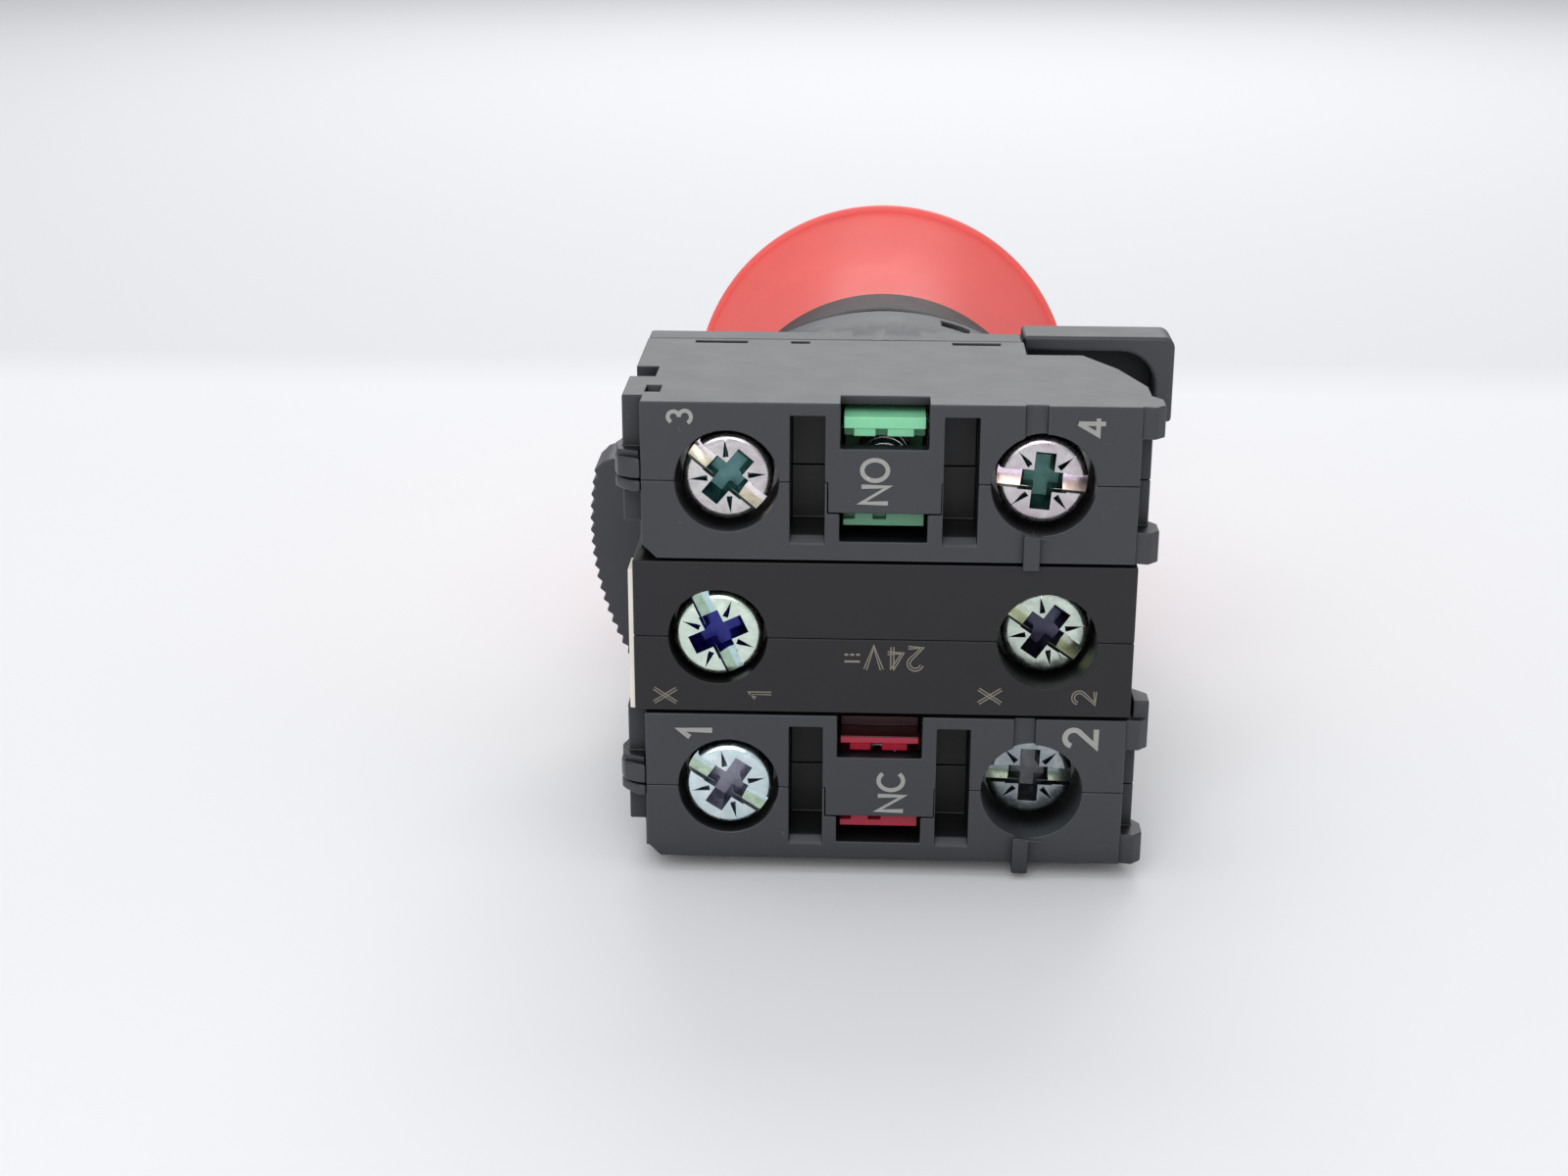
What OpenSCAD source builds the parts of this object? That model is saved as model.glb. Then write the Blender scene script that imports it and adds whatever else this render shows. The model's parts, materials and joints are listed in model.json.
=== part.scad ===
// Illuminated emergency-stop push button for a 22 mm panel hole, with two contact blocks
// and a lamp module side by side behind the panel.
// Frame: the origin is on the operator axis, in the plane where the gasket meets the panel.
// +Y points out of the panel towards the head, -Y to the terminals, +Z to the NO block.
// A "depth" below is measured from the terminal face, towards the panel.

/* [Panel fit] */
// Diameter of the neck that goes through the panel hole
neck_d = 22; // [21.5:0.1:22.2]
// Gap between the gasket and the mounting nut, filled by the panel
panel_gap = 3; // [2:0.5:3.5]
// Distance from the panel face back to the terminal face
behind_panel = 31; // [31:1:34]

/* [Head] */
// Diameter of the mushroom head
head_d = 32; // [30:1:36]
// Distance from the panel face to the rim of the head
rim_y = 31; // [30:1:34]
// Height of the dome above the rim
dome_h = 8; // [6:1:10]
// Travel of the head from rest to fully pressed
push_travel = 5; // [4:0.5:5]
// Outer diameter of the bezel
bezel_d = 27.2; // [27:0.1:28]
// Distance from the panel face to the front of the bezel's collar
bezel_top = 11.9; // [11:0.1:12]

/* [Contact and lamp modules] */
// Pitch of the modules side by side
block_pitch = 10; // [10:0.5:11]
// Width of the flat front face of a module
face_w = 30; // [30:0.5:31]
// Depth of a module from its terminal face to the latch frame
block_depth = 16.5; // [16.5:0.5:17.5]
// Gap left between neighbouring modules
seam = 0.2; // [0.1:0.1:0.4]
// Distance of each contact terminal screw from the centre
contact_screw_x = 9.5; // [9.3:0.1:9.7]
// Distance of each lamp terminal screw from the centre
lamp_screw_x = 10.1; // [9.9:0.1:10.3]
// Diameter of the wells over the terminal screws
well_d = 6.3; // [6.1:0.1:6.5]

/* [Latch] */
// Outer radius of the round boss on the latch frame
boss_r = 15.6; // [15:0.1:15.7]
// Outer radius of the thumb rim on the locking lever
thumb_r = 20.7; // [20:0.1:21]

/* [Hidden] */
$fn = 96;
e = 0.05;                       // overshoot of a cutting tool
run = 0.05;                     // radial running clearance of a sliding or turning fit

face_y = -behind_panel;         // plane of the terminal faces
back_y = face_y + block_depth;  // plane where the modules meet the latch frame
half_t = (block_pitch - seam) / 2;
no_z = block_pitch;
nc_z = -block_pitch;
lamp_z = 0;

// Operator
neck_r = neck_d / 2;
neck_end = -7.6;                // rear end of the operator neck
gasket_t = 1;
flange_r = 12.7;                // flange at the front of the operator body
stem_r = 8.6;
stem_bore_r = 5.6;
leg_w = 5;                      // width of the two legs under the stem
leg_in = 6.4;                   // the legs lie between these two distances from the axis
leg_out = 8.1;
foot_y = -7.9;                  // plane where the legs meet the transfer plate
plate_t = 1.5;
plunger_top = foot_y - plate_t; // plane where the transfer plate meets the plungers
collar_y = 6;                   // lower end of the head's neck
head_r = head_d / 2;
rim_t = 1.2;
tower_r = 4;

// Contact block, across the module: w is measured from its middle plane
window_x0 = -2.7;
window_x1 = 2.6;
panel_x = 3.4;                  // half width of the marking panel between the windows
panel_w0 = -1.9;
panel_w1 = 2.1;
chamber_w = 4.3;
front_wall = 1.2;
rear_wall = 1.2;
well_depth = 4.95;
screw_head_r = 2.75;
screw_head_t = 2.2;
screw_r = 1.65;
strip_t = 1.2;                  // thickness of the fixed terminal strips
strip_w = 4;                    // width of the strips across the module
clamp_depth = 5;                // depth of the clamp plates
strip_depth = 8.1;              // depth of the terminal strips under the screws
wire_h = 3.8;                   // height of the wire entries
contact_x = 4.5;                // the contact studs sit this far from the centre
bar_t = 0.8;

// ---- general shapes ----

// Box from one corner to the other
module span(a, b) translate(a) cube(b - a);

// Cylinder along +Y from y0 to y1
module rod(r, y0, y1, x = 0, z = 0, facets = 96)
    translate([x, y0, z]) rotate([-90, 0, 0]) cylinder(r = r, h = y1 - y0, $fn = facets);

// Ring along +Y
module ring(r_out, r_in, y0, y1) difference() {
    rod(r_out, y0, y1);
    rod(r_in, y0 - e, y1 + e);
}

// Solid of revolution about Y from [radius, y] points
module spun(points) rotate([-90, 0, 0]) rotate_extrude() polygon(points);

// Coil about a line along Y through (x, z), swept by a round wire
module coil(r, wire, y0, y1, turns, x = 0, z = 0, sides = 6, steps = 20) {
    n = turns * steps;
    rise = (y1 - y0 - wire) / n;
    points = [for (i = [0 : n], s = [0 : sides - 1])
        let (a = 360 * i / steps, b = 360 * s / sides, q = r + wire / 2 * cos(b))
        [x + q * cos(a), y0 + wire / 2 + rise * i + wire / 2 * sin(b), z + q * sin(a)]];
    walls = [for (i = [0 : n - 1], s = [0 : sides - 1])
        let (t = (s + 1) % sides)
        [i * sides + s, i * sides + t, (i + 1) * sides + t, (i + 1) * sides + s]];
    ends = [[for (s = [sides - 1 : -1 : 0]) s], [for (s = [0 : sides - 1]) n * sides + s]];
    polyhedron(points, concat(walls, ends), convexity = 8);
}

// Outline in X and depth, raised across the module between w0 and w1
module slab(z, w0, w1, points)
    translate([0, face_y, z + w0]) linear_extrude(w1 - w0) polygon(points);

// Box in X, depth and w
module cell(z, x0, x1, d0, d1, w0, w1)
    span([x0, face_y + d0, z + w0], [x1, face_y + d1, z + w1]);

// ---- operator and head ----

skirt_steps = 12;
neck_skirt_r = 9.9;
skirt_start = 9;                // height where the skirt starts to flare
// Radius of the concave skirt at height y
function skirt_r(y) = neck_skirt_r
    + (head_r - 0.4 - neck_skirt_r) * pow((y - skirt_start) / (rim_y - rim_t - skirt_start), 1.9);

module mushroom_head() color([0.86, 0.2, 0.2]) {
    dome_steps = 10;
    skirt_h = rim_y - rim_t - skirt_start;
    spun(concat(
        [[stem_r + 0.1, collar_y], [neck_skirt_r, collar_y]],
        [for (i = [0 : skirt_steps]) let (y = skirt_start + skirt_h * i / skirt_steps)
            [skirt_r(y), y]],
        [[head_r, rim_y - rim_t + 0.3], [head_r, rim_y + 0.5]],
        [for (i = [1 : dome_steps]) let (a = 90 * i / dome_steps)
            [(head_r - 0.4) * cos(a), rim_y + 0.9 + (dome_h - 0.9) * sin(a)]],
        [[0, 24], [stem_r + 0.1, 24], [stem_r + 0.1, 19.8], [10.2, 19.8], [10.2, 16.2],
         [stem_r + 0.1, 16.2], [stem_r + 0.1, 13.1], [9.4, 13.1], [9.4, 11.9],
         [stem_r + 0.1, 11.9]]));
}

module light_diffuser() color([0.95, 0.93, 0.9])
    spun([[0, 20.1], [stem_r - 0.1, 20.1], [stem_r - 0.1, 21.3], [6, 23], [0, 23.4]]);

module retaining_ring() color([0.75, 0.76, 0.78]) difference() {
    ring(9.3, 8.1, 12, 13);
    span([-2, 11, 7], [2, 14, 10]);     // gap that lets the ring spring open
}

module twist_spring() color([0.75, 0.76, 0.78])
    coil(r = 9.45, wire = 0.6, y0 = 16.3, y1 = 19.7, turns = 4, sides = 5);

module actuator_stem() color([0.16, 0.16, 0.17]) difference() {
    union() {
        rod(stem_r, -1.7, 20);
        for (s = [0, 1]) mirror([0, 0, s])
            span([-leg_w / 2, foot_y, leg_in], [leg_w / 2, -1, leg_out]);
    }
    rod(stem_bore_r, -1.8, 14);
    rod(tower_r + 0.6, 13, 21);
    ring(stem_r + 1, 8.1, 12 - e, 13 + e);              // groove of the retaining ring
    ring(stem_r + 1, 8.1, 1.4, 2.6);                    // groove that latches when pressed
}

module return_spring() color([0.75, 0.76, 0.78])
    coil(r = 4.95, wire = 0.7, y0 = -6.75, y1 = 13.95, turns = 8);

module detent_spring() color([0.75, 0.76, 0.78]) translate([0, -3, 0]) rotate([90, 0, 0])
    rotate_extrude() translate([stem_r + 0.6, 0]) circle(r = 0.5, $fn = 16);

module stem_seal() color([0.1, 0.1, 0.1])
    spun([[stem_r + run, -0.9], [9.9, -0.9], [9.9, 0.7], [9.5, 0.7], [stem_r + run, 0]]);

// Bezel: a flat base on the gasket and a tapered collar round the head's neck
module bezel() color([0.13, 0.13, 0.14])
    spun([[neck_r + 0.1, gasket_t], [bezel_d / 2 - 0.4, gasket_t], [bezel_d / 2, gasket_t + 0.4],
          [bezel_d / 2, 2.8], [13.2, 3.2], [12.7, bezel_top - 1], [12.4, bezel_top - 0.3],
          [12.1, bezel_top], [11.6, bezel_top], [11.2, bezel_top - 1], [10.5, 8], [10.5, 2.4],
          [flange_r + 0.1, 2.4], [flange_r + 0.1, gasket_t + 0.15],
          [neck_r + 0.1, gasket_t + 0.15]]);

module panel_gasket() color([0.1, 0.1, 0.1]) ring(bezel_d / 2 - 0.2, neck_r, 0, gasket_t);

module operator_body() color([0.17, 0.17, 0.18]) difference() {
    union() {
        rod(neck_r, neck_end, gasket_t + 0.2);
        rod(flange_r, gasket_t + 0.2, 2.3);
    }
    rod(stem_r + run, neck_end + 0.8, 3);               // guide bore of the stem
    rod(10, -0.9, 3);                                   // room for the seal and the head's neck
    rod(tower_r + 0.3, neck_end - e, 0);                // way through for the lamp tower
    ring(9.75, stem_r - 1, -3.55, -2.45);               // groove of the detent spring
    for (s = [0, 1]) mirror([0, 0, s])                  // slots for the legs of the stem
        span([-leg_w / 2 - 0.2, neck_end - e, leg_in - 0.2],
             [leg_w / 2 + 0.2, neck_end + 1, leg_out + 0.3]);
}

module mounting_nut() color([0.15, 0.15, 0.16]) difference() {
    rod(14.2, -panel_gap - 2.7, -panel_gap);
    rod(neck_r, -panel_gap - 3, 0);
    for (a = [0 : 30 : 330]) rotate([0, a, 0]) translate([15, 0, 0])
        rod(1.3, -panel_gap - 3, 0, facets = 24);       // grip notches round the nut
}

// ---- latch ----

lever_y0 = -13.2;               // front edge of the lever tab
ring_y0 = -8.5;
ring_y1 = -6.1;
lever_ring_r = 13.7;            // inner and outer radius of the lever's ring
lever_outer_r = 15;

// Part of a ring between two angles, measured from +X towards +Z
module arc_ring(r_out, r_in, y0, y1, a0, a1) intersection() {
    ring(r_out, r_in, y0, y1);
    translate([0, y1, 0]) rotate([90, 0, 0]) linear_extrude(y1 - y0)
        polygon(concat([[0, 0]], [for (i = [0 : 4]) let (a = a0 + (a1 - a0) * i / 4)
            [2 * r_out * cos(a), 2 * r_out * sin(a)]]));
}

module locking_lever() color([0.27, 0.28, 0.3]) {
    tab = [9.15, 19.2, 14.5];   // the tab's inner end, its outer end and its top
    tab_y1 = -9.8;
    ring(lever_outer_r, lever_ring_r, ring_y0, ring_y1);
    arc_ring(thumb_r, lever_outer_r - 0.1, ring_y0, -4, 166, 220);
    difference() {              // web between the ring and the two walls of the tab
        span([9.15, tab_y1 - e, 9.2], [tab[1], ring_y1, 13.5]);
        rod(lever_ring_r, tab_y1 - 1, ring_y1 + 1);
        rod(boss_r + 0.1, tab_y1 - 1, ring_y0);
    }
    span([tab[0], lever_y0, 12.9], [tab[1], tab_y1, tab[2]]);
    span([17.3, lever_y0, 9.2], [tab[1], tab_y1, 13]);
}

module latch_frame() color([0.3, 0.31, 0.33]) difference() {
    union() {
        spun([[0, back_y], [14.9, back_y], [boss_r, -11.5], [boss_r, -8.6], [0, -8.6]]);
        rod(lever_ring_r - run, -8.7, -6);
        span([-15.7, back_y, -14.9], [9, -12.2, 14.9]);
        span([8.9, back_y, -14.9], [12.5, back_y + 1, 8]);
    }
    rod(neck_r + 0.1, -8, 0);                           // seat of the operator neck
    rod(12.6, -12.9, -7.8);                             // room for the transfer plate
    span([-3.2, back_y - e, -12.5], [3.2, -12, 12.5]);  // openings in the base
    rod(7.4, back_y - e, -12);
    span([3.8, -11, 14], [5.7, -9.4, 16]);              // slot on the top of the boss
}

module transfer_plate() color([0.85, 0.84, 0.8]) difference() {
    union() {
        rod(7, plunger_top, foot_y);
        span([-2.8, plunger_top, -12], [2.8, foot_y, 12]);
    }
    rod(tower_r + 0.6, plunger_top - e, foot_y + e);
}

// ---- contact blocks ----

// Outer shape of a contact block, both halves, before it is hollowed
module contact_blank(z) {
    half_w = face_w / 2;
    slab(z, -half_t, half_t, [
        [-half_w + 0.3, 0], [half_w + 0.2, 0], [half_w + 0.2, 1.5], [half_w + 1, 1.5],
        [half_w + 1, 5], [14.6, 9.5], [12.7, 13], [9.1, 13], [9.1, block_depth],
        [-15.7, block_depth], [-15.7, 8.7], [-14.3, 8.7], [-14.3, 6.2], [-15.9, 6.2],
        [-15.9, 1.5], [-half_w + 0.3, 1.5]]);
    for (w = [-half_t, half_t - 2])                     // lips at the right-hand corners
        slab(z, w, w + 2, [[half_w, 0.2], [half_w + 1, 0], [half_w + 1.6, 0.6],
                           [half_w + 1.6, 2], [half_w + 0.7, 3.2], [half_w, 3.2]]);
    // catch on the left-hand edge, at the middle plane
    slab(z, -0.4, 1.7, [[-14.8, 0.4], [-16.2, 0.9], [-16.4, 2.6], [-15.6, 4.4], [-14.8, 4.4]]);
    cell(z, 8.4, 9.4, -0.4, 1, -half_t, -3.1);          // rib under the right-hand well
    cell(z, 8.4, 9.4, -0.4, -0.06, -half_t - 0.4, -half_t + e);
}

module contact_body(z) difference() {
    contact_blank(z);
    for (s = [-1, 1]) {
        rod(well_d / 2, face_y - 1, face_y + well_depth, s * contact_screw_x, z);
        // chamber of the terminal, and the way in for the wire
        cell(z, min(s * 5.9, s * 13.3), max(s * 5.9, s * 13.3), well_depth - e, 12.5, -3.7, 3.7);
        cell(z, min(s * 13.2, s * 17), max(s * 13.2, s * 17), clamp_depth, 8.6,
             -wire_h / 2, wire_h / 2);
    }
    cell(z, -8, 8, 4.9, block_depth - rear_wall, -3, 3);        // contact chamber
    cell(z, -2.95, 2.95, front_wall, block_depth - rear_wall, -3.9, chamber_w);
    cell(z, -2.6, 2.6, 12, block_depth + 1, -1.9, 1.9);         // way out for the plunger
    cell(z, window_x0, window_x1, -1, 1.3, panel_w1, chamber_w);
    cell(z, window_x0, window_x1, -1, 2, 3.9, half_t + 1);
    cell(z, window_x0, window_x1, -1, 1.3, -3.7, panel_w0);
    cell(z, -5.7, -3.6, -1, 3.9, -3.4, 4.1);                    // pockets beside the windows
    cell(z, 3.5, 5.6, -1, 3.9, -3.4, 4.1);
    for (x = [-5.7, 3.5]) translate([x, face_y, z]) rotate([90, 0, 90])
        linear_extrude(2.1) polygon(                            // chamfer below each pocket
            [[-1, -3.9], [0, -3.9], [0.5, -3.35], [0.5, -3], [-1, -3]]);
    cell(z, 8.3, 9.6, -1, 0.3, 2.5, half_t + 1);                // notch above that well
    cell(z, -14.6, -13.7, 2.4, 4, 3.6, half_t + 1);             // small hole in the top
    cell(z, -17, -14.9, 1.45, 6.3, -half_t - 1, -3);            // short side band at the foot
    translate([-face_w / 2 + 0.3, face_y + 5, z - half_t]) rotate([90, 0, 0])
        linear_extrude(6) polygon([[-e, -e], [0.9, -e], [-e, 0.9]]); // chamfer of the foot
    for (s = [[-12.5, -9.1], [-6.2, -5], [4.4, 7.5]])           // slots along the rear edge
        cell(z, s[0], s[1], block_depth - 1.1, block_depth - 0.5, 3.6, half_t + 1);
}

// Space on the upper half's side of the parting plane, with the marking panel
module upper_side(z, slack = 0) {
    cell(z, -20, 20, -2, block_depth + 2, 0, 12);
    cell(z, -panel_x - slack, panel_x + slack, -2, front_wall + slack,
         panel_w0 - slack, 1);
}

module contact_shell_upper(z) color([0.25, 0.255, 0.28]) intersection() {
    contact_body(z);
    upper_side(z);
}

module contact_shell_lower(z) color([0.25, 0.255, 0.28]) difference() {
    contact_body(z);
    upper_side(z, slack = 0.05);
}

// Plunger: two prongs that show in the windows, a crossbar and a stem out of the rear;
// the bar in the upper window spans from bar_w to top_w across the module
module plunger(z, bar_w = 3.2, top_w = 3.9) {
    prong_w = 2.5;
    cell(z, -prong_w, prong_w - 0.1, 0.7, 2.6, bar_w, top_w);
    cell(z, -1.9, -0.6, 0.8, 2.6, bar_w - 0.5, bar_w + 0.1);
    cell(z, 0.1, 1.7, 0.8, 2.6, bar_w - 0.5, bar_w + 0.1);
    cell(z, -prong_w, prong_w - 0.1, 2.5, 9.6, 2.3, 3.9);
    difference() {
        cell(z, -prong_w, prong_w - 0.1, 0.8, 9.6, -2.9, -2.1);
        cell(z, -prong_w - 1, -1.8, 0, 1.4, -2.5, -2);
        cell(z, -0.7, 0.1, 0, 1.4, -2.5, -2);
    }
    cell(z, -prong_w, prong_w - 0.1, 8.5, 10.5, -2.9, 3.9);
    span([-2.2, face_y + 10.4, z - 1.6], [2.2, plunger_top, z + 1.6]);
    cell(z, -2.4, 2.4, block_depth - rear_wall - 1, block_depth - rear_wall - 0.1, -1.8, 1.8);
}

module plunger_spring(z) color([0.75, 0.76, 0.78])
    coil(r = 1.45, wire = 0.35, y0 = face_y + front_wall + 0.05, y1 = face_y + 8.45, turns = 6,
         z = z, steps = 16);

// Moving bridge: s is the side its contact studs face, 1 towards the panel
module contact_bridge(z, depth, s) color([0.78, 0.5, 0.3]) difference() {
    union() {
        cell(z, -6.2, 6.2, depth, depth + bar_t, -2.6, 2.6);
        for (x = [-contact_x, contact_x])
            rod(1.1, face_y + depth + (s > 0 ? bar_t - e : -0.5),
                face_y + depth + (s > 0 ? bar_t + 0.5 : e), x, z, facets = 32);
    }
    cell(z, -2.3, 2.3, depth - 1, depth + 2, -1.7, 1.7);
}

// Spring that holds the bridge on the plunger, round its square stem
module contact_spring(z, d0, d1) color([0.75, 0.76, 0.78])
    coil(r = 2.82, wire = 0.25, y0 = face_y + d0, y1 = face_y + d1, turns = 2, z = z, steps = 16);

// Pair of fixed terminals from an outline of the right-hand strip in X and depth
module terminal_pair(z, screw_x, points, stud_d0, stud_d1) color([0.8, 0.68, 0.4])
    for (s = [0, 1]) mirror([s, 0, 0]) {
        difference() {
            slab(z, -strip_w / 2, strip_w / 2, points);
            rod(screw_r + run, face_y + 5, face_y + 11, screw_x, z, facets = 48);
        }
        if (stud_d1 > stud_d0)
            rod(1.1, face_y + stud_d0, face_y + stud_d1, contact_x, z, facets = 32);
    }

module clamp_pair(z, screw_x) color([0.82, 0.82, 0.8]) for (s = [-1, 1]) difference() {
    cell(z, s * screw_x - 3.3, s * screw_x + 3.3, clamp_depth, clamp_depth + 1, -3.2, 3.2);
    rod(screw_r + 0.15, face_y, face_y + 8, s * screw_x, z, facets = 48);
}

// Terminal screw with a slot and a cross in its head
module terminal_screw(x, z, depth, turn) difference() {
    union() {
        rod(screw_head_r, face_y + depth, face_y + depth + screw_head_t, x, z);
        rod(screw_r, face_y + depth + screw_head_t - e, face_y + 11.6, x, z, facets = 48);
    }
    translate([x, face_y + depth, z]) rotate([0, turn, 0]) {
        span([-3, -1, -0.45], [3, 0.9, 0.45]);
        span([-0.6, -1, -1.9], [0.6, 1.3, 1.9]);
        span([-1.2, -1, -1.2], [1.2, 1.3, 1.2]);
    }
}

module screw_pair(z, screw_x, left, right) color([0.8, 0.81, 0.8]) {
    terminal_screw(-screw_x, z, left[0], left[1]);
    terminal_screw(screw_x, z, right[0], right[1]);
}

// Normally open block: the bridge stands off the strips by the full travel
no_bridge_depth = 13.2;
no_stud_top = no_bridge_depth - 0.5 - push_travel;
module no_shell_upper() contact_shell_upper(no_z);
module no_shell_lower() contact_shell_lower(no_z);
module no_plunger() color([0.36, 0.72, 0.53]) plunger(no_z);
module no_return_spring() plunger_spring(no_z);
module no_contact_bridge() contact_bridge(no_z, no_bridge_depth, -1);
module no_contact_spring() contact_spring(no_z, 10.55, no_bridge_depth - 0.05);
module no_terminals() terminal_pair(no_z, contact_screw_x,
    [[13, strip_depth], [13, strip_depth + strip_t], [7, strip_depth + strip_t],
     [6.9, no_stud_top - 0.4], [3.2, no_stud_top - 0.4], [3.2, no_stud_top - 0.4 - strip_t],
     [7.6, no_stud_top - 0.4 - strip_t], [8.1, strip_depth]],
    no_stud_top - 0.4 - e, no_stud_top);
module no_clamp_plates() clamp_pair(no_z, contact_screw_x);
module no_terminal_screws() screw_pair(no_z, contact_screw_x, [1, 40], [1, 5]);

// Normally closed block: the bridge rests on the strips until the head is pressed
nc_bridge_depth = 12.1;
nc_stud_top = nc_bridge_depth + bar_t + 0.5;
module nc_shell_upper() {
    contact_shell_upper(nc_z);
    // the upper lip reaches past the seam, beside the lamp module
    color([0.25, 0.255, 0.28]) slab(nc_z, 4.5, 6, [[15.6, 0.6], [16.6, 0.6], [16.6, 2],
                                                   [15.6, 3]]);
}
module nc_shell_lower() {
    contact_shell_lower(nc_z);
    color([0.25, 0.255, 0.28]) cell(nc_z, 8.4, 9.4, -0.4, 2.2, -half_t - 0.6, -half_t + 0.1);
}
module nc_plunger() color([0.75, 0.13, 0.2]) plunger(nc_z, bar_w = 2.8, top_w = 3.3);
module nc_return_spring() plunger_spring(nc_z);
module nc_contact_bridge() contact_bridge(nc_z, nc_bridge_depth, 1);
module nc_contact_spring() contact_spring(nc_z, 10.55, nc_bridge_depth - 0.05);
module nc_terminals() terminal_pair(nc_z, contact_screw_x,
    [[13, strip_depth], [13, strip_depth + strip_t], [7.7, strip_depth + strip_t],
     [7.7, nc_stud_top + 0.3 + strip_t], [3.2, nc_stud_top + 0.3 + strip_t],
     [3.2, nc_stud_top + 0.3], [6.7, nc_stud_top + 0.3], [6.7, strip_depth]],
    nc_stud_top, nc_stud_top + 0.4);
module nc_clamp_plates() clamp_pair(nc_z, contact_screw_x);
module nc_terminal_screws() screw_pair(nc_z, contact_screw_x, [0.3, 33], [2.6, 2]);

// ---- lamp module ----

lamp_wall = 1.2;
board_depth = 11.2;

module lamp_body() difference() {
    slab(lamp_z, -half_t, half_t, [
        [-15.3, 0], [15.4, 0], [15.4, 9.5], [14.4, 13], [9.1, 13], [9.1, block_depth],
        [-15.3, block_depth]]);
    for (s = [-1, 1]) {
        rod(well_d / 2 - 0.1, face_y - 1, face_y + well_depth, s * lamp_screw_x, lamp_z);
        cell(lamp_z, min(s * 6.2, s * 13.8), max(s * 6.2, s * 13.8), well_depth - e, 12.2,
             -3.7, 3.7);
        cell(lamp_z, min(s * 13.7, s * 17), max(s * 13.7, s * 17), clamp_depth, 8.6,
             -wire_h / 2, wire_h / 2);
    }
    cell(lamp_z, -8, 8, 3, block_depth - lamp_wall, -3.7, 3.7);
    rod(tower_r + run, face_y + 12, back_y + 1);
}

module lamp_half(w0, w1) color([0.24, 0.24, 0.25]) intersection() {
    lamp_body();
    cell(lamp_z, -20, 20, -2, block_depth + 2, w0, w1);
}
module lamp_shell_upper() lamp_half(0, 12);
module lamp_shell_lower() lamp_half(-12, 0);

module lamp_board() color([0.12, 0.4, 0.25])
    cell(lamp_z, -7.6, 7.6, board_depth, board_depth + 1, -3.4, 3.4);

module lamp_resistors() color([0.75, 0.65, 0.45]) for (x = [-3.5, 3.5])
    translate([x, face_y + 9.9, lamp_z - 2.6]) cylinder(r = 1.1, h = 5.2, $fn = 32);

module lamp_tower() color([0.9, 0.9, 0.88]) difference() {
    rod(tower_r, face_y + board_depth + 1.05, 2);
    rod(1.8, face_y + board_depth, 0.6);
}

module lamp_led() color([0.95, 0.95, 0.9])
    spun([[0, 2], [2.9, 2], [2.9, 3], [2.5, 3], [2.5, 5.2], [1.8, 6.8], [0.9, 7.5], [0, 7.7]]);

module lamp_terminals() terminal_pair(lamp_z, lamp_screw_x,
    [[13.6, strip_depth], [13.6, strip_depth + strip_t], [6.9, strip_depth + strip_t],
     [6.9, board_depth - 0.05], [5.7, board_depth - 0.05], [5.7, strip_depth]], 0, 0);

module lamp_clamp_plates() clamp_pair(lamp_z, lamp_screw_x);
module lamp_terminal_screws() screw_pair(lamp_z, lamp_screw_x, [0.5, 65], [1.9, 35]);

mushroom_head();
light_diffuser();
retaining_ring();
twist_spring();
actuator_stem();
return_spring();
detent_spring();
stem_seal();
bezel();
panel_gasket();
operator_body();
mounting_nut();
locking_lever();
latch_frame();
transfer_plate();
no_shell_upper();
no_shell_lower();
no_plunger();
no_return_spring();
no_contact_bridge();
no_contact_spring();
no_terminals();
no_clamp_plates();
no_terminal_screws();
nc_shell_upper();
nc_shell_lower();
nc_plunger();
nc_return_spring();
nc_contact_bridge();
nc_contact_spring();
nc_terminals();
nc_clamp_plates();
nc_terminal_screws();
lamp_shell_upper();
lamp_shell_lower();
lamp_board();
lamp_resistors();
lamp_tower();
lamp_led();
lamp_terminals();
lamp_clamp_plates();
lamp_terminal_screws();
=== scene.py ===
"""Looks of an illuminated emergency-stop push button with two contact blocks and a lamp module.

Everything is in metres in the CAD frame: +Y points to the red head, -Y to the terminals,
+Z to the NO block. Places come from the frame's boxes; lengths below are in millimetres.
"""
import json
import math

import bmesh
import bpy
from mathutils import Matrix, Vector

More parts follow.
